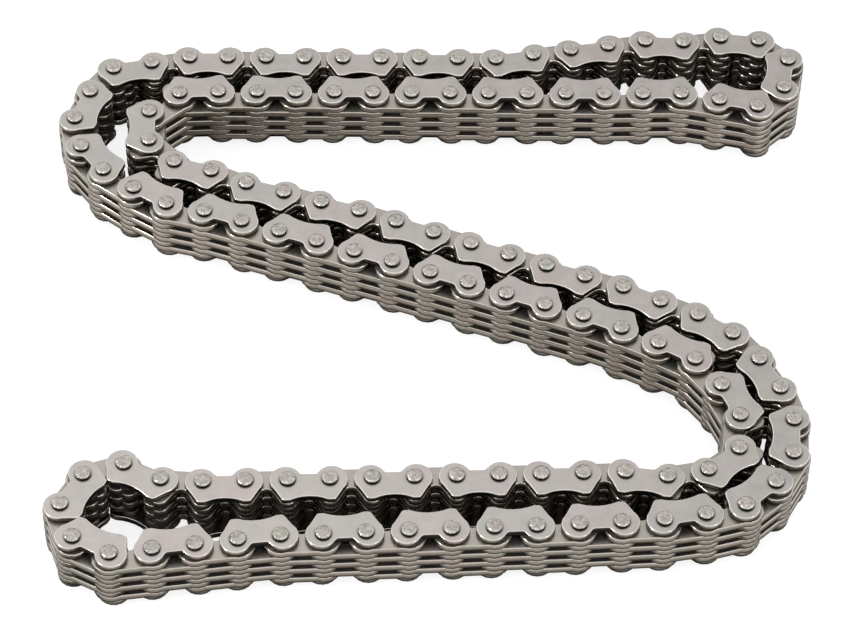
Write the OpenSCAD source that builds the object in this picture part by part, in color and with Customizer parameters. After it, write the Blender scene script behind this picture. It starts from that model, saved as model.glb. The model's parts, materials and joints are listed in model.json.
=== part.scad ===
// Endless inverted-tooth timing chain, lying flat and folded like a Z.
// Frame: X to the right along the strands, Y to the rear, Z up along the pins.
// The origin is the centre of the bounding box, on the surface that the pins stand on.

/* [Chain] */
// Distance between neighbouring pins
pitch = 6.35; // [6.2:0.05:6.6]
// Thickness of a toothed plate
plate_t = 1.05; // [0.8:0.05:1.3]
// Thickness of a guide plate
guide_t = 1.05; // [0.7:0.05:1.3]
// Play between two neighbouring plates on a pin
side_play = 0.05; // [0.03:0.01:0.1]

/* [Pin] */
// Diameter of the pin between the guide plates
pin_d = 2.2; // [1.8:0.1:2.3]
// Diameter of the riveted ends
rivet_d = 2.5; // [2.4:0.05:2.8]
// Height of a riveted end over its guide plate
rivet_h = 0.65; // [0.45:0.05:0.9]
// Radius round the edge of a riveted end
rivet_round = 0.3; // [0.2:0.05:0.4]
// Play round the pin in a toothed plate, on the radius
turn_play = 0.06; // [0.05:0.01:0.08]
// Play round the pin in a guide plate, on the radius
seat_play = 0.02; // [0.02:0.01:0.04]

/* [Plate outline] */
// Radius of a toothed plate's lobes round its pins
lobe_r = 2.75; // [2.65:0.05:2.8]
// Depth of the tooth tips below the pin line
tooth_depth = 3.8; // [3.5:0.05:3.9]
// Angle of a tooth flank from straight down
flank_angle = 30; // [28:1:32]
// Distance of a tooth's outer flank from its pin
flank_off = 2.6; // [2.3:0.05:2.65]

/* [Guide plate] */
// Radius of the two lobes
guide_lobe_r = 2.45; // [2.35:0.05:2.5]
// How far the middle of a lobe lies outside its pin
lobe_out = 0.3; // [0.2:0.05:0.4]
// Radius of the two corners on the tooth side
corner_r = 0.6; // [0.4:0.1:0.9]
// Radius of the shallow arc between the corners
arc_r = 7.5; // [6:0.5:10]
// Height of that arc over the corners
arc_rise = 0.6; // [0.3:0.1:0.9]
// Height of the waist between the lobes over the pin line
waist_h = 1; // [0.6:0.1:1.3]
// Radius where the waist runs into a lobe
waist_r = 0.5; // [0.3:0.05:0.7]

/* [Toothed plate] */
// Height of the flat back over the pin line
back_h = 2.55; // [2.2:0.05:2.6]
// Depth of the crotch top below the pin line
crotch_depth = 0.9; // [0.7:0.05:1.1]
// Radius of the crotch top
crotch_r = 1.1; // [0.9:0.05:1.2]
// Radius of the tooth tips
tip_r = 1.1; // [0.7:0.1:1.2]

/* [Hidden] */
$fn = 64;
half_pitch = pitch / 2;
guide_colour = [0.74, 0.73, 0.71];
toothed_colour = [0.66, 0.64, 0.62];
pin_colour = [0.78, 0.76, 0.74];

// Levels of the stack, from the surface up
layer = plate_t + side_play;
toothed_rows = 7;
first_toothed_z = rivet_h + guide_t + side_play;
upper_guide_z = first_toothed_z + toothed_rows * layer;
stack_top = upper_guide_z + guide_t;
chain_h = stack_top + rivet_h;

// How the chain lies. Each stretch is a list of [links, heading in degrees],
// followed clockwise from the rear left corner. Even links are guide links.
rear_outer = [[2, 13], [8, 1], [4, 11], [1, -1], [1, 11]];
rear_hairpin = [[1, -5], [1, -42], [1, -99], [1, -136]];
rear_inner = [[1, 168], [1, 169], [2, -178], [10, -179], [1, -176]];
left_inner_fold = [[1, -138], [1, -87], [1, -46]];
middle_rear = [[1, -17], [1, -24], [1, -16], [1, -18], [1, -15],
               [4, -20], [3, -19], [2, -25], [1, -34]];
right_outer_fold = [[1, -52], [1, -62], [1, -74], [1, -93], [1, -118], [1, -137]];
front_outer = [[1, -163], [1, -169], [2, -175], [7, -176], [1, -172], [3, -171]];
front_hairpin = [[1, 153], [1, 111], [1, 62], [1, 20], [1, -26]];
front_inner = [[1, -3], [10, 3], [1, -6], [1, 13]];
right_inner_fold = [[1, 41], [1, 86], [1, 114], [1, 128]];
middle_front = [[1, 151], [1, 154], [1, 158], [5, 161], [5, 162],
                [1, 167], [1, 149], [1, 144]];
// The first and last link of this fold take the headings that close the loop
left_outer_fold = [[1, 0], [1, 104], [1, 71], [1, 0]];

function sum(list, i = 0) = i < len(list) ? list[i] + sum(list, i + 1) : 0;
function links_in(stretch) = sum([for (run = stretch) run[0]]);
function mirrored(point) = [-point[0], point[1]];
function is_guide(i) = i % 2 == 0;
function spread(stretch) = [for (run = stretch) each [for (k = [1:run[0]]) run[1]]];

// Number of the first link of each stretch
rear_outer_at = 0;
rear_hairpin_at = rear_outer_at + links_in(rear_outer);
rear_inner_at = rear_hairpin_at + links_in(rear_hairpin);
left_inner_at = rear_inner_at + links_in(rear_inner);
middle_rear_at = left_inner_at + links_in(left_inner_fold);
right_outer_at = middle_rear_at + links_in(middle_rear);
front_outer_at = right_outer_at + links_in(right_outer_fold);
front_hairpin_at = front_outer_at + links_in(front_outer);
front_inner_at = front_hairpin_at + links_in(front_hairpin);
right_inner_at = front_inner_at + links_in(front_inner);
middle_front_at = right_inner_at + links_in(right_inner_fold);
left_outer_at = middle_front_at + links_in(middle_front);
link_count = left_outer_at + links_in(left_outer_fold);

// Headings of all links, with the two closing links worked out from the rest
laid = concat(spread(rear_outer), spread(rear_hairpin), spread(rear_inner),
              spread(left_inner_fold), spread(middle_rear), spread(right_outer_fold),
              spread(front_outer), spread(front_hairpin), spread(front_inner),
              spread(right_inner_fold), spread(middle_front), spread(left_outer_fold));
closing_a = left_outer_at;
closing_b = link_count - 1;
gap_x = -sum([for (i = [0:link_count - 1]) i == closing_a || i == closing_b ? 0 : cos(laid[i])]);
gap_y = -sum([for (i = [0:link_count - 1]) i == closing_a || i == closing_b ? 0 : sin(laid[i])]);
gap_heading = atan2(gap_y, gap_x);
gap_spread = acos(norm([gap_x, gap_y]) / 2);
headings = [for (i = [0:link_count - 1])
            i == closing_a ? gap_heading + gap_spread :
            i == closing_b ? gap_heading - gap_spread : laid[i]];

// Pin positions, added up link by link, then centred on their extremes
steps_x = [for (h = headings) pitch * cos(h)];
steps_y = [for (h = headings) pitch * sin(h)];
raw_x = [for (i = 0, at = 0; i < link_count; at = at + steps_x[i], i = i + 1) at];
raw_y = [for (i = 0, at = 0; i < link_count; at = at + steps_y[i], i = i + 1) at];
centre_x = (min(raw_x) + max(raw_x)) / 2;
centre_y = (min(raw_y) + max(raw_y)) / 2;
pin_at = [for (i = [0:link_count - 1]) [raw_x[i] - centre_x, raw_y[i] - centre_y]];

// Outer tooth corner: a circle of radius r that touches the flank and the tip depth
function corner_x(r) = half_pitch + (flank_off - r - (tooth_depth - r) * sin(flank_angle)) / cos(flank_angle);
flank_normal = [cos(flank_angle), -sin(flank_angle)];
crotch_normal = [cos(flank_angle), sin(flank_angle)];
// Inner tooth corner: touches the crotch flank and the tip depth
crotch_y = -crotch_depth - crotch_r;
inner_corner_y = tip_r - tooth_depth;
inner_corner_x = (tip_r + crotch_r + (crotch_y - inner_corner_y) * sin(flank_angle)) / cos(flank_angle);

// Tooth corners of radius r and flanks, with a straight top between the pins
module body_outline(r, top) {
    corner = [corner_x(r), r - tooth_depth];
    flank_top = [half_pitch, 0] + flank_off * flank_normal;
    flank_foot = corner + r * flank_normal;
    foot = [corner[0], -tooth_depth];
    for (side = [-1, 1]) translate([side * corner[0], corner[1]]) circle(r = r);
    polygon([[-half_pitch, top], [half_pitch, top], flank_top, flank_foot, foot,
             mirrored(foot), mirrored(flank_foot), mirrored(flank_top)]);
}

module lobes(r, x) {
    for (side = [-1, 1]) translate([side * x, 0]) circle(r = r);
}

// The waist meets each lobe in a hollow of radius waist_r
module guide_outline() {
    lobe_x = half_pitch + lobe_out;
    hollow_h = waist_h + waist_r;
    hollow_x = lobe_x - sqrt(pow(guide_lobe_r + waist_r, 2) - pow(hollow_h, 2));
    share = guide_lobe_r / (guide_lobe_r + waist_r);
    touch = [lobe_x + share * (hollow_x - lobe_x), share * hollow_h];
    difference() {
        union() {
            body_outline(corner_r, waist_h);
            lobes(guide_lobe_r, lobe_x);
            polygon([[-hollow_x, waist_h], mirrored(touch), [-lobe_x, 0],
                     [lobe_x, 0], touch, [hollow_x, waist_h]]);
        }
        translate([0, arc_rise - tooth_depth - arc_r]) circle(r = arc_r);
        for (side = [-1, 1]) translate([side * hollow_x, hollow_h]) circle(r = waist_r);
    }
}

// The V between the two teeth, with a round top
module crotch() {
    touch = [0, crotch_y] + crotch_r * crotch_normal;
    mouth = [inner_corner_x, inner_corner_y] - tip_r * crotch_normal;
    below = -tooth_depth - tip_r;
    translate([0, crotch_y]) circle(r = crotch_r);
    polygon([touch, mouth, [inner_corner_x, inner_corner_y], [inner_corner_x, below],
             [-inner_corner_x, below], [-inner_corner_x, inner_corner_y],
             mirrored(mouth), mirrored(touch)]);
}

module toothed_outline() {
    difference() {
        union() {
            body_outline(tip_r, back_h);
            lobes(lobe_r, half_pitch);
        }
        crotch();
    }
    for (side = [-1, 1]) translate([side * inner_corner_x, inner_corner_y]) circle(r = tip_r);
}

module bores(play) {
    for (side = [-1, 1]) translate([side * half_pitch, 0]) circle(r = pin_d / 2 + play);
}

module guide_plate() {
    linear_extrude(guide_t) difference() {
        guide_outline();
        bores(seat_play);
    }
}

module toothed_plate() {
    linear_extrude(plate_t) difference() {
        toothed_outline();
        bores(turn_play);
    }
}

// A round pin with a riveted end above and below the guide plates
module pin() {
    rotate_extrude() {
        translate([0, rivet_h]) square([pin_d / 2, stack_top - rivet_h]);
        rivet_profile();
        translate([0, chain_h]) mirror([0, 1]) rivet_profile();
    }
}

module rivet_profile() {
    edge = rivet_d / 2 - rivet_round;
    square([edge, rivet_h]);
    translate([0, rivet_round]) square([rivet_d / 2, rivet_h - rivet_round]);
    translate([edge, rivet_round]) circle(r = rivet_round);
}

// Puts a plate that is drawn about its own middle on link i
module on_link(i, z) {
    translate([pin_at[i][0], pin_at[i][1], z]) rotate(headings[i]) translate([half_pitch, 0, 0]) children();
}

module guide_plates_on(i) {
    for (z = [rivet_h, upper_guide_z]) on_link(i, z) guide_plate();
}

// Toothed plates lie in rows 0 to 6: inner links take the even rows, guide links the odd ones
module toothed_plates_on(i) {
    first_row = is_guide(i) ? 1 : 0;
    for (row = [first_row:2:toothed_rows - 1]) on_link(i, first_toothed_z + row * layer) toothed_plate();
}

module pins_on(i) {
    for (k = [i, i + 1]) translate(pin_at[k]) pin();
}

module guide_plates_of(first, stretch) {
    color(guide_colour)
        for (i = [first:first + links_in(stretch) - 1]) if (is_guide(i)) guide_plates_on(i);
}

module toothed_plates_of(first, stretch) {
    color(toothed_colour)
        for (i = [first:first + links_in(stretch) - 1]) toothed_plates_on(i);
}

module pins_of(first, stretch) {
    color(pin_colour)
        for (i = [first:first + links_in(stretch) - 1]) if (is_guide(i)) pins_on(i);
}

module guide_link_plates(i) {
    color(guide_colour) {
        guide_plates_on(i);
        toothed_plates_on(i);
    }
}

module guide_link_pins(i) {
    color(pin_colour) pins_on(i);
}

module inner_link_plates(i) {
    color(toothed_colour) toothed_plates_on(i);
}

module rear_outer_guide_plates() guide_plates_of(rear_outer_at, rear_outer);
module rear_outer_toothed_plates() toothed_plates_of(rear_outer_at, rear_outer);
module rear_outer_pins() pins_of(rear_outer_at, rear_outer);
module rear_hairpin_link_1_plates() guide_link_plates(rear_hairpin_at);
module rear_hairpin_link_1_pins() guide_link_pins(rear_hairpin_at);
module rear_hairpin_link_2_plates() inner_link_plates(rear_hairpin_at + 1);
module rear_hairpin_link_3_plates() guide_link_plates(rear_hairpin_at + 2);
module rear_hairpin_link_3_pins() guide_link_pins(rear_hairpin_at + 2);
module rear_hairpin_link_4_plates() inner_link_plates(rear_hairpin_at + 3);
module rear_inner_guide_plates() guide_plates_of(rear_inner_at, rear_inner);
module rear_inner_toothed_plates() toothed_plates_of(rear_inner_at, rear_inner);
module rear_inner_pins() pins_of(rear_inner_at, rear_inner);
module left_inner_fold_link_1_plates() inner_link_plates(left_inner_at);
module left_inner_fold_link_2_plates() guide_link_plates(left_inner_at + 1);
module left_inner_fold_link_2_pins() guide_link_pins(left_inner_at + 1);
module left_inner_fold_link_3_plates() inner_link_plates(left_inner_at + 2);
module middle_rear_guide_plates() guide_plates_of(middle_rear_at, middle_rear);
module middle_rear_toothed_plates() toothed_plates_of(middle_rear_at, middle_rear);
module middle_rear_pins() pins_of(middle_rear_at, middle_rear);
module right_outer_fold_link_1_plates() inner_link_plates(right_outer_at);
module right_outer_fold_link_2_plates() guide_link_plates(right_outer_at + 1);
module right_outer_fold_link_2_pins() guide_link_pins(right_outer_at + 1);
module right_outer_fold_link_3_plates() inner_link_plates(right_outer_at + 2);
module right_outer_fold_link_4_plates() guide_link_plates(right_outer_at + 3);
module right_outer_fold_link_4_pins() guide_link_pins(right_outer_at + 3);
module right_outer_fold_link_5_plates() inner_link_plates(right_outer_at + 4);
module right_outer_fold_link_6_plates() guide_link_plates(right_outer_at + 5);
module right_outer_fold_link_6_pins() guide_link_pins(right_outer_at + 5);
module front_outer_guide_plates() guide_plates_of(front_outer_at, front_outer);
module front_outer_toothed_plates() toothed_plates_of(front_outer_at, front_outer);
module front_outer_pins() pins_of(front_outer_at, front_outer);
module front_hairpin_link_1_plates() guide_link_plates(front_hairpin_at);
module front_hairpin_link_1_pins() guide_link_pins(front_hairpin_at);
module front_hairpin_link_2_plates() inner_link_plates(front_hairpin_at + 1);
module front_hairpin_link_3_plates() guide_link_plates(front_hairpin_at + 2);
module front_hairpin_link_3_pins() guide_link_pins(front_hairpin_at + 2);
module front_hairpin_link_4_plates() inner_link_plates(front_hairpin_at + 3);
module front_hairpin_link_5_plates() guide_link_plates(front_hairpin_at + 4);
module front_hairpin_link_5_pins() guide_link_pins(front_hairpin_at + 4);
module front_inner_guide_plates() guide_plates_of(front_inner_at, front_inner);
module front_inner_toothed_plates() toothed_plates_of(front_inner_at, front_inner);
module front_inner_pins() pins_of(front_inner_at, front_inner);
module right_inner_fold_link_1_plates() guide_link_plates(right_inner_at);
module right_inner_fold_link_1_pins() guide_link_pins(right_inner_at);
module right_inner_fold_link_2_plates() inner_link_plates(right_inner_at + 1);
module right_inner_fold_link_3_plates() guide_link_plates(right_inner_at + 2);
module right_inner_fold_link_3_pins() guide_link_pins(right_inner_at + 2);
module right_inner_fold_link_4_plates() inner_link_plates(right_inner_at + 3);
module middle_front_guide_plates() guide_plates_of(middle_front_at, middle_front);
module middle_front_toothed_plates() toothed_plates_of(middle_front_at, middle_front);
module middle_front_pins() pins_of(middle_front_at, middle_front);
module left_outer_fold_link_1_plates() guide_link_plates(left_outer_at);
module left_outer_fold_link_1_pins() guide_link_pins(left_outer_at);
module left_outer_fold_link_2_plates() inner_link_plates(left_outer_at + 1);
module left_outer_fold_link_3_plates() guide_link_plates(left_outer_at + 2);
module left_outer_fold_link_3_pins() guide_link_pins(left_outer_at + 2);
module left_outer_fold_link_4_plates() inner_link_plates(left_outer_at + 3);

rear_outer_guide_plates();
rear_outer_toothed_plates();
rear_outer_pins();
rear_hairpin_link_1_plates();
rear_hairpin_link_1_pins();
rear_hairpin_link_2_plates();
rear_hairpin_link_3_plates();
rear_hairpin_link_3_pins();
rear_hairpin_link_4_plates();
rear_inner_guide_plates();
rear_inner_toothed_plates();
rear_inner_pins();
left_inner_fold_link_1_plates();
left_inner_fold_link_2_plates();
left_inner_fold_link_2_pins();
left_inner_fold_link_3_plates();
middle_rear_guide_plates();
middle_rear_toothed_plates();
middle_rear_pins();
right_outer_fold_link_1_plates();
right_outer_fold_link_2_plates();
right_outer_fold_link_2_pins();
right_outer_fold_link_3_plates();
right_outer_fold_link_4_plates();
right_outer_fold_link_4_pins();
right_outer_fold_link_5_plates();
right_outer_fold_link_6_plates();
right_outer_fold_link_6_pins();
front_outer_guide_plates();
front_outer_toothed_plates();
front_outer_pins();
front_hairpin_link_1_plates();
front_hairpin_link_1_pins();
front_hairpin_link_2_plates();
front_hairpin_link_3_plates();
front_hairpin_link_3_pins();
front_hairpin_link_4_plates();
front_hairpin_link_5_plates();
front_hairpin_link_5_pins();
front_inner_guide_plates();
front_inner_toothed_plates();
front_inner_pins();
right_inner_fold_link_1_plates();
right_inner_fold_link_1_pins();
right_inner_fold_link_2_plates();
right_inner_fold_link_3_plates();
right_inner_fold_link_3_pins();
right_inner_fold_link_4_plates();
middle_front_guide_plates();
middle_front_toothed_plates();
middle_front_pins();
left_outer_fold_link_1_plates();
left_outer_fold_link_1_pins();
left_outer_fold_link_2_plates();
left_outer_fold_link_3_plates();
left_outer_fold_link_3_pins();
left_outer_fold_link_4_plates();
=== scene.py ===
"""Looks of an endless inverted-tooth timing chain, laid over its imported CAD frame."""

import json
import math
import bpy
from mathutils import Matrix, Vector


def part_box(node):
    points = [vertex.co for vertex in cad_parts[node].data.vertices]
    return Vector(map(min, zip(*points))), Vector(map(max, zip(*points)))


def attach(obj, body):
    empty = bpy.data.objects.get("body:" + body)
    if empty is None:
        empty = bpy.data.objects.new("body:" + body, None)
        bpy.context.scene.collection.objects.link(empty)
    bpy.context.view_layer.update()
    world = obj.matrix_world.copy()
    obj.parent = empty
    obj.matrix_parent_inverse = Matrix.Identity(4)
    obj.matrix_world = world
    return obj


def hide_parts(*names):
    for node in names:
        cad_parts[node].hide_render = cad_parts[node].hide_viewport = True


bl_info = {
    "name": "Timing Chain",
    "version": (1, 0, 0),
    "blender": (4, 5, 0),
    "location": "3D View > Sidebar > Timing Chain",
    "description": "Blanked steel plates and riveted pins of an inverted-tooth timing chain",
    "category": "Object",
}

from collections import namedtuple

import bpy
from bpy.props import FloatProperty, FloatVectorProperty, IntProperty
from mathutils import Matrix, Vector

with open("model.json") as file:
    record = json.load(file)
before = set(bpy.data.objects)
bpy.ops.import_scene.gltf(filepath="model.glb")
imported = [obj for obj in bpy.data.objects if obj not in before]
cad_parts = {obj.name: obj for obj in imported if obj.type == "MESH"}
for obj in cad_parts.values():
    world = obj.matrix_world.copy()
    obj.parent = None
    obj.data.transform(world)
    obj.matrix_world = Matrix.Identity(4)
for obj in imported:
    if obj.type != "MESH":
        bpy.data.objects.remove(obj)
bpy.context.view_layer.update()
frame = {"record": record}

BODIES = frame["record"]["behaviour"]["bodies"]

# How the chain lies: stretches of [links, heading in degrees], clockwise from the rear left corner
STRETCHES = {
    "rear_outer": [[2, 13], [8, 1], [4, 11], [1, -1], [1, 11]],
    "rear_hairpin": [[1, -5], [1, -42], [1, -99], [1, -136]],
    "rear_inner": [[1, 168], [1, 169], [2, -178], [10, -179], [1, -176]],
    "left_inner_fold": [[1, -138], [1, -87], [1, -46]],
    "middle_rear": [[1, -17], [1, -24], [1, -16], [1, -18], [1, -15],
                    [4, -20], [3, -19], [2, -25], [1, -34]],
    "right_outer_fold": [[1, -52], [1, -62], [1, -74], [1, -93], [1, -118], [1, -137]],
    "front_outer": [[1, -163], [1, -169], [2, -175], [7, -176], [1, -172], [3, -171]],
    "front_hairpin": [[1, 153], [1, 111], [1, 62], [1, 20], [1, -26]],
    "front_inner": [[1, -3], [10, 3], [1, -6], [1, 13]],
    "right_inner_fold": [[1, 41], [1, 86], [1, 114], [1, 128]],
    "middle_front": [[1, 151], [1, 154], [1, 158], [5, 161], [5, 162],
                     [1, 167], [1, 149], [1, 144]],
    # The first and last link of this fold take the headings that close the loop
    "left_outer_fold": [[1, None], [1, 104], [1, 71], [1, None]],
}


def mm(value):
    return value * 0.001


# Inner and middle toothed plates in turn, between the two guide plates
INNER_ROWS, MIDDLE_ROWS = 4, 3
TOOTHED_ROWS = INNER_ROWS + MIDDLE_ROWS
GUIDE_ROWS = 2
LAYOUT_TOLERANCE = mm(0.3)
WELD = mm(0.002)
SHARP_ANGLE = 50
# Steepness of a face, from 0 when it is level to 1 when it is upright
FLAT_STEEPNESS, WALL_STEEPNESS = 0.03, (0.3, 0.6)
FACE_END, RIM_START, RIM_END, WALL_START = 0.02, 0.05, 0.66, 0.8
RIVET_SIDES = 16
# The way inside at a corner is lengthened by no more than 1 over this
LEAST_MITRE = 0.5
# Radians a guide link's second pin is turned from its first, and either of them at random
PIN_STEP, PIN_TURN = 40.0, 3.0

# Finishes: sizes in metres, levels from 0 to 1
SHEAR_DRAW = 0.15
CLOUD_LEVELS = (0.3, 0.7)
CLOUD_ROUGHNESS = 0.04
TINT_SIZE = mm(3.0)
TINTS = ((0.1, "#F6F9F8"), (0.35, "#FAFBF6"), (0.65, "#FEFAFB"), (0.9, "#FFF9F6"))
OIL_FILM = 0.08

# Stage: places and sizes in metres, power in watts
FLOOR_HALF = 3.0
PAPER_GREY = 0.35
PAPER_SEEN = 0.83
# Y place and brightness of the paper's painted glow there, as the metal mirrors it
PAPER_FRONT, PAPER_REAR = (-0.07, 0.3), (-0.03, 0.52)
SHADE_REACH, SHADE_SAMPLES, SHADE_POWER = 0.03, 6, 2.0
SKY_LIGHT, SKY_SEEN = 0.85, 1.0
LAMPS = (
    # name, place, size, power
    ("overhead_softbox", (-0.25, 0.35, 0.9), 0.9, 0.9),
    ("left_softbox", (-0.9, -0.45, 0.55), 0.3, 3.0),
    ("right_softbox", (0.75, -0.6, 0.6), 0.35, 0.8),
)
CAMERA_PLACE = (mm(-1.197), mm(-350.16), mm(426.45))
CAMERA_DOWN, CAMERA_ROLL = 50.507, 1.096
CAMERA_SENSOR, CAMERA_LENS = 36, 147.17
CAMERA_CLIP = (0.05, 20)

Spot = namedtuple("Spot", "x y z heading levels covered")
Mottle = namedtuple("Mottle", "size depth")
Grain = namedtuple("Grain", "size strength depth")
Fade = namedtuple("Fade", "start end share")
# Painted shade under a guide plate's waist: its half width, side fade, start, end and share of
# light left
WaistShade = namedtuple("WaistShade", "half_width side_fade start end share")


def linear(hex_colour):
    """Turns an sRGB hex value into Blender's linear colour."""
    parts = [int(hex_colour[i:i + 2], 16) / 255 for i in (1, 3, 5)]
    return [c / 12.92 if c <= 0.04045 else ((c + 0.055) / 1.055) ** 2.4 for c in parts]


def length(name, description, default):
    return FloatProperty(name=name, description=description, default=mm(default),
                         unit="LENGTH", subtype="DISTANCE", precision=5)


def angle(name, description, default):
    return FloatProperty(name=name, description=description, default=math.radians(default),
                         unit="ROTATION", subtype="ANGLE")


def colour(name, description, default):
    return FloatVectorProperty(name=name, description=description, default=linear(default),
                               subtype="COLOR", size=3, min=0, max=1)


class TimingChainSizes(bpy.types.PropertyGroup):
    """Sizes of the chain, the same as in the CAD source"""

    pitch: length("Pitch", "Distance between neighbouring pins", 6.35)
    plate_t: length("Plate Thickness", "Thickness of every plate", 1.05)
    side_play: length("Side Play", "Play between two neighbouring plates on a pin", 0.05)
    pin_d: length("Pin Diameter", "Diameter of the pin between the guide plates", 2.2)
    rivet_d: length("Rivet Diameter", "Diameter of the riveted ends", 2.5)
    rivet_h: length("Rivet Height", "Height of a riveted end over its guide plate", 0.65)
    rivet_round: length("Rivet Round", "Radius round the edge of a riveted end", 0.3)
    lobe_r: length("Lobe Radius", "Radius of a toothed plate's lobes round its pins", 2.75)
    tooth_depth: length("Tooth Depth", "Depth of the tooth tips below the pin line", 3.8)
    flank_angle: angle("Flank Angle", "Angle of a tooth flank from straight down", 30)
    flank_off: length("Flank Offset", "Distance of a tooth's outer flank from its pin", 2.6)
    guide_lobe_r: length("Guide Lobe Radius", "Radius of a guide plate's two lobes", 2.45)
    lobe_out: length("Guide Lobe Offset", "How far a guide lobe's middle lies outside its pin", 0.3)
    corner_r: length("Guide Corner", "Radius of a guide plate's corners on the tooth side", 0.6)
    arc_r: length("Guide Arc", "Radius of a guide plate's shallow arc", 7.5)
    arc_rise: length("Guide Arc Rise", "Height of that arc over the corners", 0.6)
    waist_h: length("Waist Height", "Height of a guide plate's waist over the pin line", 1.0)
    waist_r: length("Waist Radius", "Radius where the waist runs into a lobe", 0.5)
    back_h: length("Back Height", "Height of a toothed plate's flat back over the pin line", 2.55)
    crotch_depth: length("Crotch Depth", "Depth of the crotch top below the pin line", 0.9)
    crotch_r: length("Crotch Radius", "Radius of the crotch top", 1.1)
    tip_r: length("Tip Radius", "Radius of the tooth tips", 1.1)
    guide_roll: length("Guide Edge Roll", "Rolled edge that blanking leaves on a guide plate", 0.17)
    toothed_roll: length("Toothed Edge Roll", "Rolled edge left on a toothed plate", 0.14)
    plate_shift: length("Plate Shift", "How far a toothed plate may sit off its place", 0.02)
    plate_turn: angle("Plate Turn", "How far a toothed plate may sit turned on its pins", 0.35)
    seed: IntProperty(name="Seed", description="Seed of the differences between plates", default=7)


class TimingChainFinishes(bpy.types.PropertyGroup):
    """Colours of the steels and of the floor"""

    guide_face: colour("Guide Face", "Tumbled satin face of a guide plate", "#BFBAB7")
    toothed_face: colour("Toothed Face", "Oiled face of a toothed plate", "#B1ACA6")
    guide_edge: colour("Guide Edge", "Edge of a guide plate, burnished by tumbling", "#F0ECE6")
    toothed_edge: colour("Toothed Edge", "Rolled edge of a toothed plate", "#E0DAD2")
    sheared_wall: colour("Sheared Wall", "Sheared and tempered wall of a plate", "#B8AEA2")
    rivet_face: colour("Rivet Face", "Spun end of a pin", "#D2CCC6")
    # Painted shade: a dark colour on the side of a spun end
    rivet_wall: colour("Rivet Wall", "Oily side of a spun end", "#37302A")
    floor: colour("Floor", "Plain white floor", "#FFFFFF")


# Outlines ------------------------------------------------------------------


def arc(centre, radius, start, end, steps):
    """Points on an arc, in degrees, both ends included."""
    turns = [math.radians(start + (end - start) * k / steps) for k in range(steps + 1)]
    return [Vector((centre[0] + radius * math.cos(turn), centre[1] + radius * math.sin(turn)))
            for turn in turns]


def whole(right_half):
    """Closes a right half that starts on the middle line with its mirror image."""
    left = [Vector((-p.x, p.y)) for p in reversed(right_half) if p.x > 1e-9]
    return right_half + left


def corner_and_lobe(s, corner_r, corner_steps, lobe_out, lobe_r, lobe_end, lobe_steps):
    """The outer tooth corner and the lobe, from the tip round to an angle on the lobe."""
    flank = math.degrees(s.flank_angle)
    half = s.pitch / 2
    reach = s.flank_off - corner_r - (s.tooth_depth - corner_r) * math.sin(s.flank_angle)
    corner = (half + reach / math.cos(s.flank_angle), corner_r - s.tooth_depth)
    off = s.flank_off - lobe_out * math.cos(s.flank_angle)
    leaves = -flank - math.degrees(math.acos(off / lobe_r))
    return (arc(corner, corner_r, -90, -flank, corner_steps)
            + arc((half + lobe_out, 0), lobe_r, leaves, lobe_end, lobe_steps))


def guide_outline(s):
    """Two lobes with a waist between them, and a shallow arc on the tooth side."""
    arc_centre = (0, s.arc_rise - s.tooth_depth - s.arc_r)
    meets = math.degrees(math.asin((s.arc_r - s.arc_rise) / s.arc_r))
    lobe_x, hollow_y = s.pitch / 2 + s.lobe_out, s.waist_h + s.waist_r
    hollow_x = lobe_x - math.sqrt((s.guide_lobe_r + s.waist_r) ** 2 - hollow_y ** 2)
    touch = math.degrees(math.atan2(hollow_y, hollow_x - lobe_x))
    return whole(arc(arc_centre, s.arc_r, 90, meets, 3)
                 + corner_and_lobe(s, s.corner_r, 3, s.lobe_out, s.guide_lobe_r, touch, 10)
                 + arc((hollow_x, hollow_y), s.waist_r, touch - 180, -90, 3)[1:])


def toothed_outline(s):
    """Two teeth with a crotch between them, round lobes and a flat back."""
    flank = math.degrees(s.flank_angle)
    crotch = (0, -s.crotch_depth - s.crotch_r)
    inner_y = s.tip_r - s.tooth_depth
    inner_x = (s.tip_r + s.crotch_r
               + (crotch[1] - inner_y) * math.sin(s.flank_angle)) / math.cos(s.flank_angle)
    back = 180 - math.degrees(math.asin(s.back_h / s.lobe_r))
    return whole(arc(crotch, s.crotch_r, 90, flank, 3)
                 + arc((inner_x, inner_y), s.tip_r, 180 + flank, 270, 2)
                 + corner_and_lobe(s, s.tip_r, 2, 0, s.lobe_r, back, 8))


def round_outline(diameter):
    return arc((0, 0), diameter / 2, 0, 360 - 360 / RIVET_SIDES, RIVET_SIDES - 1)


def outline_object(name, points):
    """One flat face, with the way to its inside kept on each corner."""
    mesh = bpy.data.meshes.new(name)
    mesh.from_pydata([(p.x, p.y, 0) for p in points], [], [range(len(points))])
    inward = mesh.attributes.new("inward", "FLOAT_VECTOR", "POINT")
    for k, here in enumerate(points):
        before = (here - points[k - 1]).normalized()
        after = (points[(k + 1) % len(points)] - here).normalized()
        middle = (before + after).normalized()
        reach = 1 / max(middle.dot(after), LEAST_MITRE)
        inward.data[k].vector = (-middle.y * reach, middle.x * reach, 0)
    made = bpy.data.objects.new(name, mesh)
    bpy.context.scene.collection.objects.link(made)
    return made


# Node trees ----------------------------------------------------------------


def node(tree, kind, inputs=None, **settings):
    """Adds a node with its settings, its values and its links."""
    made = tree.nodes.new(kind)
    for key, value in settings.items():
        setattr(made, key, value)
    for key, value in (inputs or {}).items():
        if isinstance(value, bpy.types.NodeSocket):
            tree.links.new(value, made.inputs[key])
        else:
            made.inputs[key].default_value = value
    return made


def maths(tree, operation, *values):
    """The result of an operation on numbers and sockets."""
    return node(tree, "ShaderNodeMath", dict(enumerate(values)), operation=operation).outputs[0]


def product(tree, first, *factors):
    for factor in factors:
        first = maths(tree, "MULTIPLY", first, factor)
    return first


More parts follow.
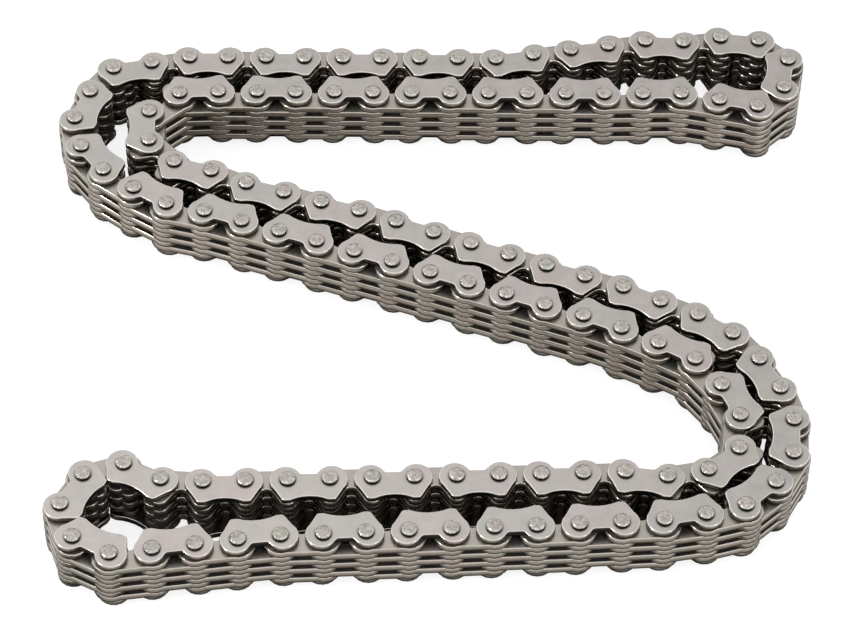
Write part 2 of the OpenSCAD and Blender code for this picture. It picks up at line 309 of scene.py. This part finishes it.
def ranged(tree, value, start, end, low=0.0, high=1.0):
    """A level that goes from low to high while a value goes from start to end."""
    return node(tree, "ShaderNodeMapRange",
                {"Value": value, "From Min": start, "From Max": end,
                 "To Min": low, "To Max": high}).outputs[0]


def combined(tree, **parts):
    """A vector from its X, Y and Z."""
    return node(tree, "ShaderNodeCombineXYZ", parts).outputs[0]


def scaled(tree, vector, factor):
    return node(tree, "ShaderNodeVectorMath", {0: vector, "Scale": factor},
                operation="SCALE").outputs["Vector"]


def ramp(tree, value, stops):
    """The colour at a value, between stops of (position, colour) in rising order."""
    made = node(tree, "ShaderNodeValToRGB", {"Fac": value})
    elements = made.color_ramp.elements
    elements[0].position, elements[1].position = stops[0][0], stops[-1][0]
    for position, _ in stops[1:-1]:
        elements.new(position)
    for element, (_, shade) in zip(elements, stops):
        element.color = (*shade, 1)
    return made.outputs["Color"]


def named(tree, name, data_type):
    """What the geometry holds under a name."""
    return node(tree, "GeometryNodeInputNamedAttribute", {"Name": name},
                data_type=data_type).outputs["Attribute"]


def stored(tree, geometry, name, value, data_type, domain):
    """The geometry with a value kept under a name."""
    return node(tree, "GeometryNodeStoreNamedAttribute",
                {"Geometry": geometry, "Name": name, "Value": value},
                data_type=data_type, domain=domain).outputs["Geometry"]


def sum_of(tree, sizes, parts):
    """A socket with the sum of the named sizes, each times its share."""
    total = None
    for name, share in parts.items():
        part = maths(tree, "MULTIPLY", sizes[name], share)
        total = part if total is None else maths(tree, "ADD", total, part)
    return total


def lifted_solid(tree, given, start, rings):
    """The outline lifted ring by ring and closed below."""
    inward = named(tree, "inward", "FLOAT_VECTOR")

    def drawn_in(geometry, parts, **chosen):
        if not parts:
            return geometry
        move = scaled(tree, inward, sum_of(tree, given, parts))
        return node(tree, "GeometryNodeSetPosition",
                    {"Geometry": geometry, "Offset": move, **chosen}).outputs["Geometry"]

    outline = node(tree, "GeometryNodeObjectInfo", {"Object": given["Outline"]})
    foot = drawn_in(outline.outputs["Geometry"], start)
    solid, top, inset = foot, {}, start
    for rise, ring_inset in rings:
        lifted = node(tree, "GeometryNodeExtrudeMesh",
                      {"Mesh": solid, "Offset": combined(tree, Z=sum_of(tree, given, rise)),
                       "Offset Scale": 1.0, "Individual": False, **top}, mode="FACES")
        top = {"Selection": lifted.outputs["Top"]}
        change = {size: ring_inset.get(size, 0) - inset.get(size, 0)
                  for size in {**inset, **ring_inset}}
        solid = drawn_in(lifted.outputs["Mesh"],
                         {size: share for size, share in change.items() if share}, **top)
        inset = ring_inset
    both = node(tree, "GeometryNodeJoinGeometry")
    cap = node(tree, "GeometryNodeFlipFaces", {"Mesh": foot}).outputs["Mesh"]
    for half in (cap, solid):
        tree.links.new(half, both.inputs[0])
    return node(tree, "GeometryNodeMergeByDistance",
                {"Geometry": both.outputs[0], "Distance": WELD}).outputs["Geometry"]


def marked(tree, solid):
    """The solid with what its finish follows: how steep each face is, and where each spot lies."""
    # steep is 0 on the flat faces, between on the rolled edges and 1 on the walls
    normal = node(tree, "GeometryNodeInputNormal").outputs[0]
    upright = node(tree, "ShaderNodeSeparateXYZ", {0: normal}).outputs["Z"]
    steep = maths(tree, "SUBTRACT", 1.0, maths(tree, "ABSOLUTE", upright))
    solid = stored(tree, solid, "steep", steep, "FLOAT", "FACE")
    position = node(tree, "GeometryNodeInputPosition").outputs[0]
    return stored(tree, solid, "spot", position, "FLOAT_VECTOR", "POINT")


def stacked(tree, given, solid):
    """The solid on each point, once for each level of its stack, a little off its place."""
    def draw(offset, low):
        seed = maths(tree, "ADD", given["Seed"], offset)
        return node(tree, "FunctionNodeRandomValue", {2: low, 3: 1.0, "Seed": seed},
                    data_type="FLOAT").outputs[1]

    rows = node(tree, "GeometryNodeDuplicateElements",
                {"Geometry": given["Geometry"], "Amount": named(tree, "levels", "INT")},
                domain="POINT").outputs
    up = combined(tree, Z=maths(tree, "MULTIPLY", rows["Duplicate Index"], given["Level Spacing"]))
    scatter = node(tree, "FunctionNodeRandomValue",
                   {0: (-1, -1, -0.5), 1: (1, 1, 0.5), "Seed": given["Seed"]},
                   data_type="FLOAT_VECTOR").outputs[0]
    place = node(tree, "ShaderNodeVectorMath", {0: up, 1: scaled(tree, scatter, given["Shift"])},
                 operation="ADD").outputs["Vector"]
    points = node(tree, "GeometryNodeSetPosition",
                  {"Geometry": rows["Geometry"], "Offset": place}).outputs["Geometry"]
    turned = maths(tree, "MULTIPLY_ADD", draw(offset=1.0, low=-1.0), given["Turn"],
                   named(tree, "heading", "FLOAT"))
    laid = node(tree, "GeometryNodeInstanceOnPoints",
                {"Points": points, "Instance": solid,
                 "Rotation": combined(tree, Z=turned)}).outputs["Instances"]
    toned = stored(tree, laid, "tone", draw(offset=2.0, low=0.0), "FLOAT", "INSTANCE")
    return node(tree, "GeometryNodeRealizeInstances", {"Geometry": toned}).outputs["Geometry"]


def laid_tree(name, size_names, start, rings):
    """A tree that lifts an outline ring by ring into a solid and lays it on each point.

    start is how far the lowest face is drawn in. Each ring is the rise from the ring
    below and how far it is drawn in, both as shares of the named sizes.
    """
    tree = bpy.data.node_groups.new(name, "GeometryNodeTree")
    tree.interface.new_socket("Geometry", in_out="OUTPUT", socket_type="NodeSocketGeometry")
    numbers = [*size_names, "Level Spacing", "Shift", "Turn"]
    for title, kind in (("Geometry", "Geometry"), ("Outline", "Object"),
                        *((number, "Float") for number in numbers),
                        ("Seed", "Int"), ("Steel", "Material")):
        tree.interface.new_socket(title, in_out="INPUT", socket_type=f"NodeSocket{kind}")
    given = node(tree, "NodeGroupInput").outputs
    solid = marked(tree, lifted_solid(tree, given, start, rings))
    steel_set = node(tree, "GeometryNodeSetMaterial",
                     {"Geometry": stacked(tree, given, solid), "Material": given["Steel"]})
    node(tree, "NodeGroupOutput", {"Geometry": steel_set.outputs["Geometry"]})
    return tree


def guide_tree():
    """Guide plates: rolled on the upper edge, broken on the lower one."""
    return laid_tree("Guide plates", ["Thickness", "Edge Roll"], {"Edge Roll": 0.6}, [
        ({"Edge Roll": 0.6}, {}),
        ({"Thickness": 1, "Edge Roll": -1.6}, {}),
        ({"Edge Roll": 0.7}, {"Edge Roll": 0.3}),
        ({"Edge Roll": 0.3}, {"Edge Roll": 1}),
    ])


def toothed_tree():
    """Toothed plates: rolled on the upper edge, sheared sharp on the lower one."""
    return laid_tree("Toothed plates", ["Thickness", "Edge Roll"], {}, [
        ({"Thickness": 1, "Edge Roll": -1}, {}),
        ({"Edge Roll": 1}, {"Edge Roll": 1}),
    ])


def pin_tree():
    """Pins: a shank, a plain lower rivet and a domed upper one."""
    sizes = ["Rivet Height", "Rivet Round", "Neck", "Shank Length"]
    return laid_tree("Riveted pins", sizes, {"Rivet Round": 1}, [
        ({"Rivet Round": 1}, {}),
        ({"Rivet Height": 1, "Rivet Round": -1}, {}),
        ({"Neck": 0.1}, {"Neck": 1}),
        ({"Shank Length": 1, "Neck": -0.2}, {"Neck": 1}),
        ({"Neck": 0.1}, {}),
        ({"Rivet Height": 1, "Rivet Round": -1}, {}),
        ({"Rivet Round": 0.6}, {"Rivet Round": 0.25}),
        ({"Rivet Round": 0.28}, {"Rivet Round": 0.9}),
        ({"Rivet Round": 0.12}, {"Rivet Round": 2}),
    ])


# How the chain lies --------------------------------------------------------


def way(heading):
    """The unit vector along a heading in degrees."""
    return Vector((math.cos(math.radians(heading)), math.sin(math.radians(heading))))


def chain_links(s):
    """Every link: if it is a guide link, its CAD names and body, and how it lies.

    A single link has CAD nodes of its own, and stem is what the names of its nodes start with.
    """
    named, headings = [], []
    for stretch, runs in STRETCHES.items():
        laid = [heading for count, heading in runs for _ in range(count)]
        named += [(stretch, k + 1) for k in range(len(laid))]
        headings += laid
    known = sum((way(heading) for heading in headings if heading is not None), Vector((0, 0)))
    gap = math.degrees(math.atan2(-known.y, -known.x))
    spread = math.degrees(math.acos(known.length / 2))
    first, last = [i for i, heading in enumerate(headings) if heading is None]
    headings[first], headings[last] = gap + spread, gap - spread

    pins, at = [], Vector((0, 0))
    for heading in headings:
        pins.append(at.copy())
        at += s.pitch * way(heading)
    centre = Vector(((min(p.x for p in pins) + max(p.x for p in pins)) / 2,
                     (min(p.y for p in pins) + max(p.y for p in pins)) / 2))
    pins = [p - centre for p in pins]

    carried = {cad: body for body, nodes in BODIES.items() for cad in nodes}
    links = []
    for i, (stretch, number) in enumerate(named):
        single = f"{stretch}_link_{number}_plates" in carried
        stem = f"{stretch}_link_{number}" if single else stretch
        body = carried[f"{stem}_plates" if single else f"{stem}_toothed_plates"]
        here, there = pins[i], pins[(i + 1) % len(pins)]
        links.append({"guide": i % 2 == 0, "single": single, "stem": stem, "body": body,
                      "heading": math.radians(headings[i]), "middle": (here + there) / 2,
                      "pins": (here, there)})
    return links


def stack(s):
    """Heights of the first toothed row, a layer and the upper guide plate."""
    layer = s.plate_t + s.side_play
    first = s.rivet_h + layer
    return first, layer, first + TOOTHED_ROWS * layer


def upper_face(s):
    """Height of the upper guide plate's upper face."""
    return stack(s)[2] + s.plate_t


def lay(name, tree, values, spots):
    """Runs a tree over the spots and keeps a plain mesh.

    covered is 1 for a spot whose plates lie under a guide plate's waist, where their faces get
    painted shade.
    """
    mesh = bpy.data.meshes.new(name)
    mesh.from_pydata([spot[:3] for spot in spots], [], [])
    for title, kind in (("heading", "FLOAT"), ("levels", "INT"), ("covered", "FLOAT")):
        kept = mesh.attributes.new(title, kind, "POINT")
        kept.data.foreach_set("value", [getattr(spot, title) for spot in spots])
    piece = bpy.data.objects.new(name, mesh)
    bpy.context.scene.collection.objects.link(piece)
    modifier = piece.modifiers.new("Laid", "NODES")
    modifier.node_group = tree
    for item in tree.interface.items_tree:
        if item.in_out == "INPUT" and item.name in values:
            modifier[item.identifier] = values[item.name]
    bpy.context.view_layer.update()
    depsgraph = bpy.context.evaluated_depsgraph_get()
    plain = bpy.data.meshes.new_from_object(piece.evaluated_get(depsgraph), depsgraph=depsgraph)
    if not plain.polygons:
        raise RuntimeError(f"{name} came out empty")
    piece.modifiers.remove(modifier)
    piece.data = plain
    plain.name = name
    bpy.data.meshes.remove(mesh)
    plain.set_sharp_from_angle(angle=math.radians(SHARP_ANGLE))
    steep = plain.attributes["steep"].data
    plain.polygons.foreach_set("use_smooth", [item.value > FLAT_STEEPNESS for item in steep])
    for spare in ("inward", "heading", "levels"):
        if spare in plain.attributes:
            plain.attributes.remove(plain.attributes[spare])
    return piece


def dress(piece, body, nodes):
    """Hands a piece to its body, once it is seen to lie where its CAD nodes lie."""
    boxes = [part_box(name) for name in nodes]
    for axis in (0, 1):
        places = [vertex.co[axis] for vertex in piece.data.vertices]
        low, high = min(box[0][axis] for box in boxes), max(box[1][axis] for box in boxes)
        if max(abs(min(places) - low), abs(max(places) - high)) > LAYOUT_TOLERANCE:
            raise RuntimeError(f"{piece.name} doesn't lie where {', '.join(nodes)} lie")
    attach(piece, body)
    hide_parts(*nodes)


def cad_nodes(links, kind):
    """The CAD nodes that hold a kind of piece for some links; a single link's plates share one."""
    return sorted({f"{link['stem']}_plates" if link["single"] and kind != "pins"
                   else f"{link['stem']}_{kind}" for link in links})


def lay_each_body(s, kind, title, outline, tree, values, spots_of):
    """Lays one piece of a kind for each body, over the spots that its links give."""
    bodies = {}
    for link in chain_links(s):
        if spots_of(link):
            bodies.setdefault(link["body"], []).append(link)
    for body, links in bodies.items():
        spots = [spot for link in links for spot in spots_of(link)]
        piece = lay(f"{body}_{title}", tree, {"Outline": outline, **values}, spots)
        dress(piece, body, cad_nodes(links, kind))
    bpy.data.objects.remove(outline)


# Finishes ------------------------------------------------------------------


def attribute(tree, name, output="Fac"):
    return node(tree, "ShaderNodeAttribute", attribute_name=name).outputs[output]


def noise(tree, where, size, detail=2.0, roughness=0.5):
    """Clouds of a size in metres."""
    return node(tree, "ShaderNodeTexNoise",
                {"Vector": where, "Scale": 1 / size, "Detail": detail,
                 "Roughness": roughness}).outputs["Fac"]


def by_part(tree, steep, face, rim, wall):
    """One colour on the flat faces, one on the rolled edges and one on the walls."""
    return ramp(tree, steep, ((FACE_END, face), (RIM_START, rim), (RIM_END, rim),
                              (WALL_START, wall), (1.0, wall)))


def tempering(tree, where):
    """Cooler, greener and warmer tints, with more of one of them on each plate."""
    breath = ranged(tree, noise(tree, where, TINT_SIZE), *CLOUD_LEVELS)
    wander = product(tree, maths(tree, "ADD", attribute(tree, "tone"), breath), 0.5)
    return ramp(tree, wander, [(position, linear(tint)) for position, tint in TINTS])


def painted_waist_shade(tree, waist_shade, side, along):
    """Painted shade: share of light left on a covered plate, under a guide plate's waist, where
    shade falls.
    """
    across = ranged(tree, side, waist_shade.half_width, waist_shade.half_width + waist_shade.side_fade, 1.0, 0.0)
    outwards = ranged(tree, along, waist_shade.start, waist_shade.end, 1.0, 0.0)
    shaded = product(tree, attribute(tree, "covered"), across, outwards)
    return ranged(tree, shaded, 0.0, 1.0, 1.0, waist_shade.share)


def painted_wall_shade(tree, steep, level, fade):
    """Painted shade: share of light left on walls along an axis of the plate, where they lie in
    shade.
    """
    walls = ranged(tree, steep, *WALL_STEEPNESS)
    return ranged(tree, walls, 0.0, 1.0, 1.0, ranged(tree, level, fade.start, fade.end, fade.share))


def painted_rivet_shadow(tree, pin_x, side, along, fade):
    """Painted shadow: share of light left round a rivet, whose pin is pin_x from the middle."""
    flat = combined(tree, X=maths(tree, "SUBTRACT", side, pin_x), Y=along)
    away = node(tree, "ShaderNodeVectorMath", {0: flat}, operation="LENGTH").outputs["Value"]
    return ranged(tree, away, fade.start, fade.end, fade.share)


def steel(name, colours, roughness, mottle, grain, low_wall, wall_shades=(), ring=None, waist_shade=None,
          film=0.0):
    """A bare steel whose flat faces, rolled edges and walls each have their own finish.

    colours and roughness are for face, rolled edge and wall. A fade goes from a share of the light
    at its start to all of it at its end: low_wall up the wall, darker at its foot with painted
    shade, and on a toothed plate also by its fracture zone; each painted wall shade along an axis
    of the plate; and ring, a painted shadow with the distance of a pin from the middle, away from a
    rivet.
    film is the share of the light that an oil film scatters.
    """
    material = bpy.data.materials.new(name)
    material.use_nodes = True
    tree = material.node_tree
    shader = tree.nodes["Principled BSDF"].inputs
    shader["Metallic"].default_value = 1.0 - film
    where = node(tree, "ShaderNodeTexCoord").outputs["Object"]
    steep = attribute(tree, "steep")
    place = node(tree, "ShaderNodeSeparateXYZ", {0: attribute(tree, "spot", "Vector")}).outputs
    side = maths(tree, "ABSOLUTE", place["X"])

    # Mottle left by tumbling and oil, drawn long down the walls as the shear drew it
    drawn = node(tree, "ShaderNodeVectorMath", {0: where, 1: (1, 1, SHEAR_DRAW)},
                 operation="MULTIPLY").outputs["Vector"]
    cloud = noise(tree, drawn, mottle.size, detail=4.0, roughness=0.7)
    lights = [ranged(tree, cloud, *CLOUD_LEVELS, 1 - mottle.depth),
              ranged(tree, place["Z"], low_wall.start, low_wall.end, low_wall.share)]
    if waist_shade:
        lights.append(painted_waist_shade(tree, waist_shade, side, place["Y"]))
    for axis, fade in wall_shades:
        lights.append(painted_wall_shade(tree, steep, side if axis == "X" else place[axis], fade))
    if ring:
        pin_x, fade = ring
        lights.append(painted_rivet_shadow(tree, pin_x, side, place["Y"], fade))
    tinted = node(tree, "ShaderNodeVectorMath",
                  {0: by_part(tree, steep, *colours), 1: tempering(tree, where)},
                  operation="MULTIPLY").outputs[0]
    tree.links.new(scaled(tree, tinted, product(tree, *lights)), shader["Base Color"])

    rough = by_part(tree, steep, *((level,) * 3 for level in roughness))
    spread = ranged(tree, cloud, *CLOUD_LEVELS, -CLOUD_ROUGHNESS, CLOUD_ROUGHNESS)
    tree.links.new(maths(tree, "ADD", rough, spread), shader["Roughness"])

    relief = node(tree, "ShaderNodeBump",
                  {"Height": noise(tree, where, grain.size), "Strength": grain.strength,
                   "Distance": grain.depth}).outputs["Normal"]
    tree.links.new(relief, shader["Normal"])
    return material


# Operators -----------------------------------------------------------------


class TIMINGCHAIN_OT_guide_plates(bpy.types.Operator):
    """Lay the two outer plates of every guide link, one mesh for each body"""

    bl_idname = "timing_chain.guide_plates"
    bl_label = "Guide Plates"

    def execute(self, context):
        s, f = context.scene.timing_chain_sizes, context.scene.timing_chain_finishes
        # Medium-carbon steel, blanked, tumbled and pressed on its pins, where it sits true: an even
        # pale satin face with a thin bright edge, a brown wall with painted shade at its foot and
        # in the waist, and a painted shadow round the rivets
        rivet_r = s.rivet_d / 2
        finish = steel(
            "satin_tumbled_steel", (f.guide_face, f.guide_edge, f.sheared_wall),
            roughness=(0.32, 0.2, 0.34),
            mottle=Mottle(size=mm(2.5), depth=0.16),
            grain=Grain(size=mm(0.35), strength=0.12, depth=mm(0.03)),
            # Painted shade at the foot of the wall, under the plate's edge
            low_wall=Fade(mm(0.3), mm(0.7), share=0.15),
            # Painted shade on the walls in the waist
            wall_shades=[("X", Fade(mm(1.5), mm(2.8), share=0.12))],
            # Painted shadow round each rivet
            ring=(s.pitch / 2, Fade(rivet_r + mm(0.05), rivet_r + mm(0.35), share=0.6)))
        _, _, upper = stack(s)

        def spots_of(link):
            if not link["guide"]:
                return []
            return [Spot(*link["middle"], s.rivet_h, link["heading"], GUIDE_ROWS, 0)]

        lay_each_body(
            s, "guide_plates", "guide_plates", outline_object("guide_outline", guide_outline(s)),
            guide_tree(), {"Thickness": s.plate_t, "Edge Roll": s.guide_roll,
                           "Level Spacing": upper - s.rivet_h, "Shift": 0.0, "Turn": 0.0,
                           "Seed": s.seed, "Steel": finish}, spots_of)
        return {"FINISHED"}


class TIMINGCHAIN_OT_toothed_plates(bpy.types.Operator):
    """Lay the middle and inner toothed plates, one mesh for each body"""

    bl_idname = "timing_chain.toothed_plates"
    bl_label = "Toothed Plates"

    def execute(self, context):
        s, f = context.scene.timing_chain_sizes, context.scene.timing_chain_finishes
        # Hardened steel, oiled: a warm grey face, brown sheared walls with painted shade between
        # the teeth and at the lobe ends, painted shade on the faces under a guide plate's waist,
        # and brighter rolled edges
        finish = steel(
            "oiled_hardened_steel", (f.toothed_face, f.toothed_edge, f.sheared_wall),
            roughness=(0.3, 0.2, 0.3),
            mottle=Mottle(size=mm(0.9), depth=0.14),
            grain=Grain(size=mm(0.35), strength=0.12, depth=mm(0.03)),
            # Darker foot of the wall: the shear's fracture zone, deepened with painted shade of the
            # slot below
            low_wall=Fade(mm(0.15), mm(0.55), share=0.25),
            # Painted shade on the walls between the teeth and at the lobe ends
            wall_shades=[("Y", Fade(mm(-1.2), mm(0.2), share=0.6)),
                     ("X", Fade(mm(5.3), mm(4.5), share=0.3))],
            # Painted shade on the faces under a guide plate's waist
            waist_shade=WaistShade(half_width=mm(1.6), side_fade=mm(0.8), start=mm(1.2), end=mm(2.6), share=0.8),
            film=OIL_FILM)
        first, layer, _ = stack(s)

        def spots_of(link):
            base, rows = (first + layer, MIDDLE_ROWS) if link["guide"] else (first, INNER_ROWS)
            return [Spot(*link["middle"], base, link["heading"], rows, int(link["guide"]))]

        lay_each_body(
            s, "toothed_plates", "toothed_plates",
            outline_object("toothed_outline", toothed_outline(s)),
            toothed_tree(), {"Thickness": s.plate_t, "Edge Roll": s.toothed_roll,
                             "Level Spacing": 2 * layer, "Shift": s.plate_shift,
                             "Turn": s.plate_turn, "Seed": s.seed + 10, "Steel": finish}, spots_of)
        return {"FINISHED"}


class TIMINGCHAIN_OT_pins(bpy.types.Operator):
    """Set the riveted pins of the guide links, one mesh for each body"""

    bl_idname = "timing_chain.pins"
    bl_label = "Riveted Pins"

    def execute(self, context):
        s, f = context.scene.timing_chain_sizes, context.scene.timing_chain_finishes
        # Hardened pin steel, ends spun over: a mottled top, a bright worn edge and a side darkened
        # with painted shade
        top = upper_face(s)
        finish = steel(
            "spun_pin_steel", (f.rivet_face, f.guide_edge, f.rivet_wall),
            roughness=(0.3, 0.2, 0.5),
            mottle=Mottle(size=mm(0.8), depth=0.5),
            grain=Grain(size=mm(0.6), strength=1.0, depth=mm(0.35)),
            # Painted shade on the upper rivet's side and on all below it
            low_wall=Fade(top + mm(0.2), top + mm(0.5), share=0.2),
            film=OIL_FILM)

        def spots_of(link):
            if not link["guide"]:
                return []
            return [Spot(*pin, 0.0, PIN_STEP * number, 1, 0)
                    for number, pin in enumerate(link["pins"])]

        lay_each_body(
            s, "pins", "riveted_pins", outline_object("rivet_outline", round_outline(s.rivet_d)),
            pin_tree(), {"Rivet Height": s.rivet_h, "Rivet Round": s.rivet_round,
                         "Neck": (s.rivet_d - s.pin_d) / 2, "Shank Length": top - s.rivet_h,
                         "Level Spacing": 0.0, "Shift": 0.0, "Turn": PIN_TURN,
                         "Seed": s.seed + 20, "Steel": finish}, spots_of)
        return {"FINISHED"}


class TIMINGCHAIN_OT_stage(bpy.types.Operator):
    """Set the white floor, the soft lamps and the camera"""

    bl_idname = "timing_chain.stage"
    bl_label = "Stage"

    def execute(self, context):
        scene = context.scene
        scene.view_settings.view_transform = "Standard"
        self.floor(scene)
        self.world(scene)
        self.lamps(scene)
        self.camera(scene)
        return {"FINISHED"}

    def floor(self, scene):
        mesh = bpy.data.meshes.new("floor")
        corners = [(x * FLOOR_HALF, y * FLOOR_HALF, 0)
                   for x, y in ((-1, -1), (1, -1), (1, 1), (-1, 1))]
        mesh.from_pydata(corners, [], [(0, 1, 2, 3)])
        floor = bpy.data.objects.new("floor", mesh)
        scene.collection.objects.link(floor)
        paper = bpy.data.materials.new("white_paper")
        paper.use_nodes = True
        tree = paper.node_tree
        tree.nodes.clear()
        # White paper: the camera sees it near white with the chain's soft shadow, and the metal
        # sees a painted glow on it, with painted shadow where the chain is near and painted dimming
        # in front
        matt = node(tree, "ShaderNodeBsdfDiffuse", {"Color": (*(PAPER_GREY,) * 3, 1)}).outputs[0]
        rays = node(tree, "ShaderNodeLightPath").outputs
        in_metal = maths(tree, "MAXIMUM", rays["Is Glossy Ray"], rays["Is Transmission Ray"])
        open_sky = node(tree, "ShaderNodeAmbientOcclusion", {"Distance": SHADE_REACH},
                        samples=SHADE_SAMPLES).outputs["AO"]
        where = node(tree, "ShaderNodeNewGeometry").outputs["Position"]
        depth = node(tree, "ShaderNodeSeparateXYZ", {0: where}).outputs["Y"]
        (front_y, front_light), (rear_y, rear_light) = PAPER_FRONT, PAPER_REAR
        mirrored = product(tree, in_metal, maths(tree, "POWER", open_sky, SHADE_POWER),
                           ranged(tree, depth, front_y, rear_y, front_light, rear_light))
        strength = maths(tree, "MULTIPLY_ADD", rays["Is Camera Ray"], PAPER_SEEN, mirrored)
        glow = node(tree, "ShaderNodeEmission",
                    {"Color": (*scene.timing_chain_finishes.floor, 1),
                     "Strength": strength}).outputs[0]
        both = node(tree, "ShaderNodeAddShader", {0: matt, 1: glow}).outputs[0]
        node(tree, "ShaderNodeOutputMaterial", {"Surface": both})
        mesh.materials.append(paper)

    def world(self, scene):
        world = bpy.data.worlds.new("soft_studio")
        scene.world = world
        world.use_nodes = True
        tree = world.node_tree
        tree.nodes.clear()
        seen = node(tree, "ShaderNodeLightPath").outputs["Is Camera Ray"]
        strength = ranged(tree, seen, 0.0, 1.0, SKY_LIGHT, SKY_SEEN)
        sky = node(tree, "ShaderNodeBackground", {"Color": (1, 1, 1, 1), "Strength": strength})
        node(tree, "ShaderNodeOutputWorld", {"Surface": sky.outputs[0]})

    def lamps(self, scene):
        for name, place, size, power in LAMPS:
            lamp = bpy.data.lights.new(name, "AREA")
            lamp.shape, lamp.size, lamp.energy = "DISK", size, power
            holder = bpy.data.objects.new(name, lamp)
            holder.location = place
            holder.rotation_euler = (-Vector(place)).to_track_quat("-Z", "Y").to_euler()
            scene.collection.objects.link(holder)

    def camera(self, scene):
        lens = bpy.data.cameras.new("camera")
        lens.sensor_width, lens.lens = CAMERA_SENSOR, CAMERA_LENS
        lens.clip_start, lens.clip_end = CAMERA_CLIP
        camera = bpy.data.objects.new("camera", lens)
        scene.collection.objects.link(camera)
        camera.matrix_world = (Matrix.Translation(CAMERA_PLACE)
                               @ Matrix.Rotation(math.radians(90 - CAMERA_DOWN), 4, "X")
                               @ Matrix.Rotation(math.radians(CAMERA_ROLL), 4, "Z"))
        scene.camera = camera


class TIMINGCHAIN_PT_sidebar(bpy.types.Panel):
    """Lists the steps that dress the chain"""

    bl_label = "Timing Chain"
    bl_idname = "TIMINGCHAIN_PT_sidebar"
    bl_space_type = "VIEW_3D"
    bl_region_type = "UI"
    bl_category = "Timing Chain"

    def draw(self, context):
        for operator in OPERATORS:
            self.layout.operator(operator.bl_idname)
        for group in (context.scene.timing_chain_sizes, context.scene.timing_chain_finishes):
            column = self.layout.column()
            for name in group.__annotations__:
                column.prop(group, name)


OPERATORS = (TIMINGCHAIN_OT_guide_plates, TIMINGCHAIN_OT_toothed_plates,
             TIMINGCHAIN_OT_pins, TIMINGCHAIN_OT_stage)
CLASSES = (TimingChainSizes, TimingChainFinishes, *OPERATORS, TIMINGCHAIN_PT_sidebar)


def register():
    for cls in CLASSES:
        bpy.utils.register_class(cls)
    bpy.types.Scene.timing_chain_sizes = bpy.props.PointerProperty(type=TimingChainSizes)
    bpy.types.Scene.timing_chain_finishes = bpy.props.PointerProperty(type=TimingChainFinishes)


def unregister():
    del bpy.types.Scene.timing_chain_sizes
    del bpy.types.Scene.timing_chain_finishes
    for cls in reversed(CLASSES):
        bpy.utils.unregister_class(cls)


def main():
    register()
    bpy.ops.timing_chain.guide_plates()
    bpy.ops.timing_chain.toothed_plates()
    bpy.ops.timing_chain.pins()
    bpy.ops.timing_chain.stage()


if __name__ == "__main__":
    main()
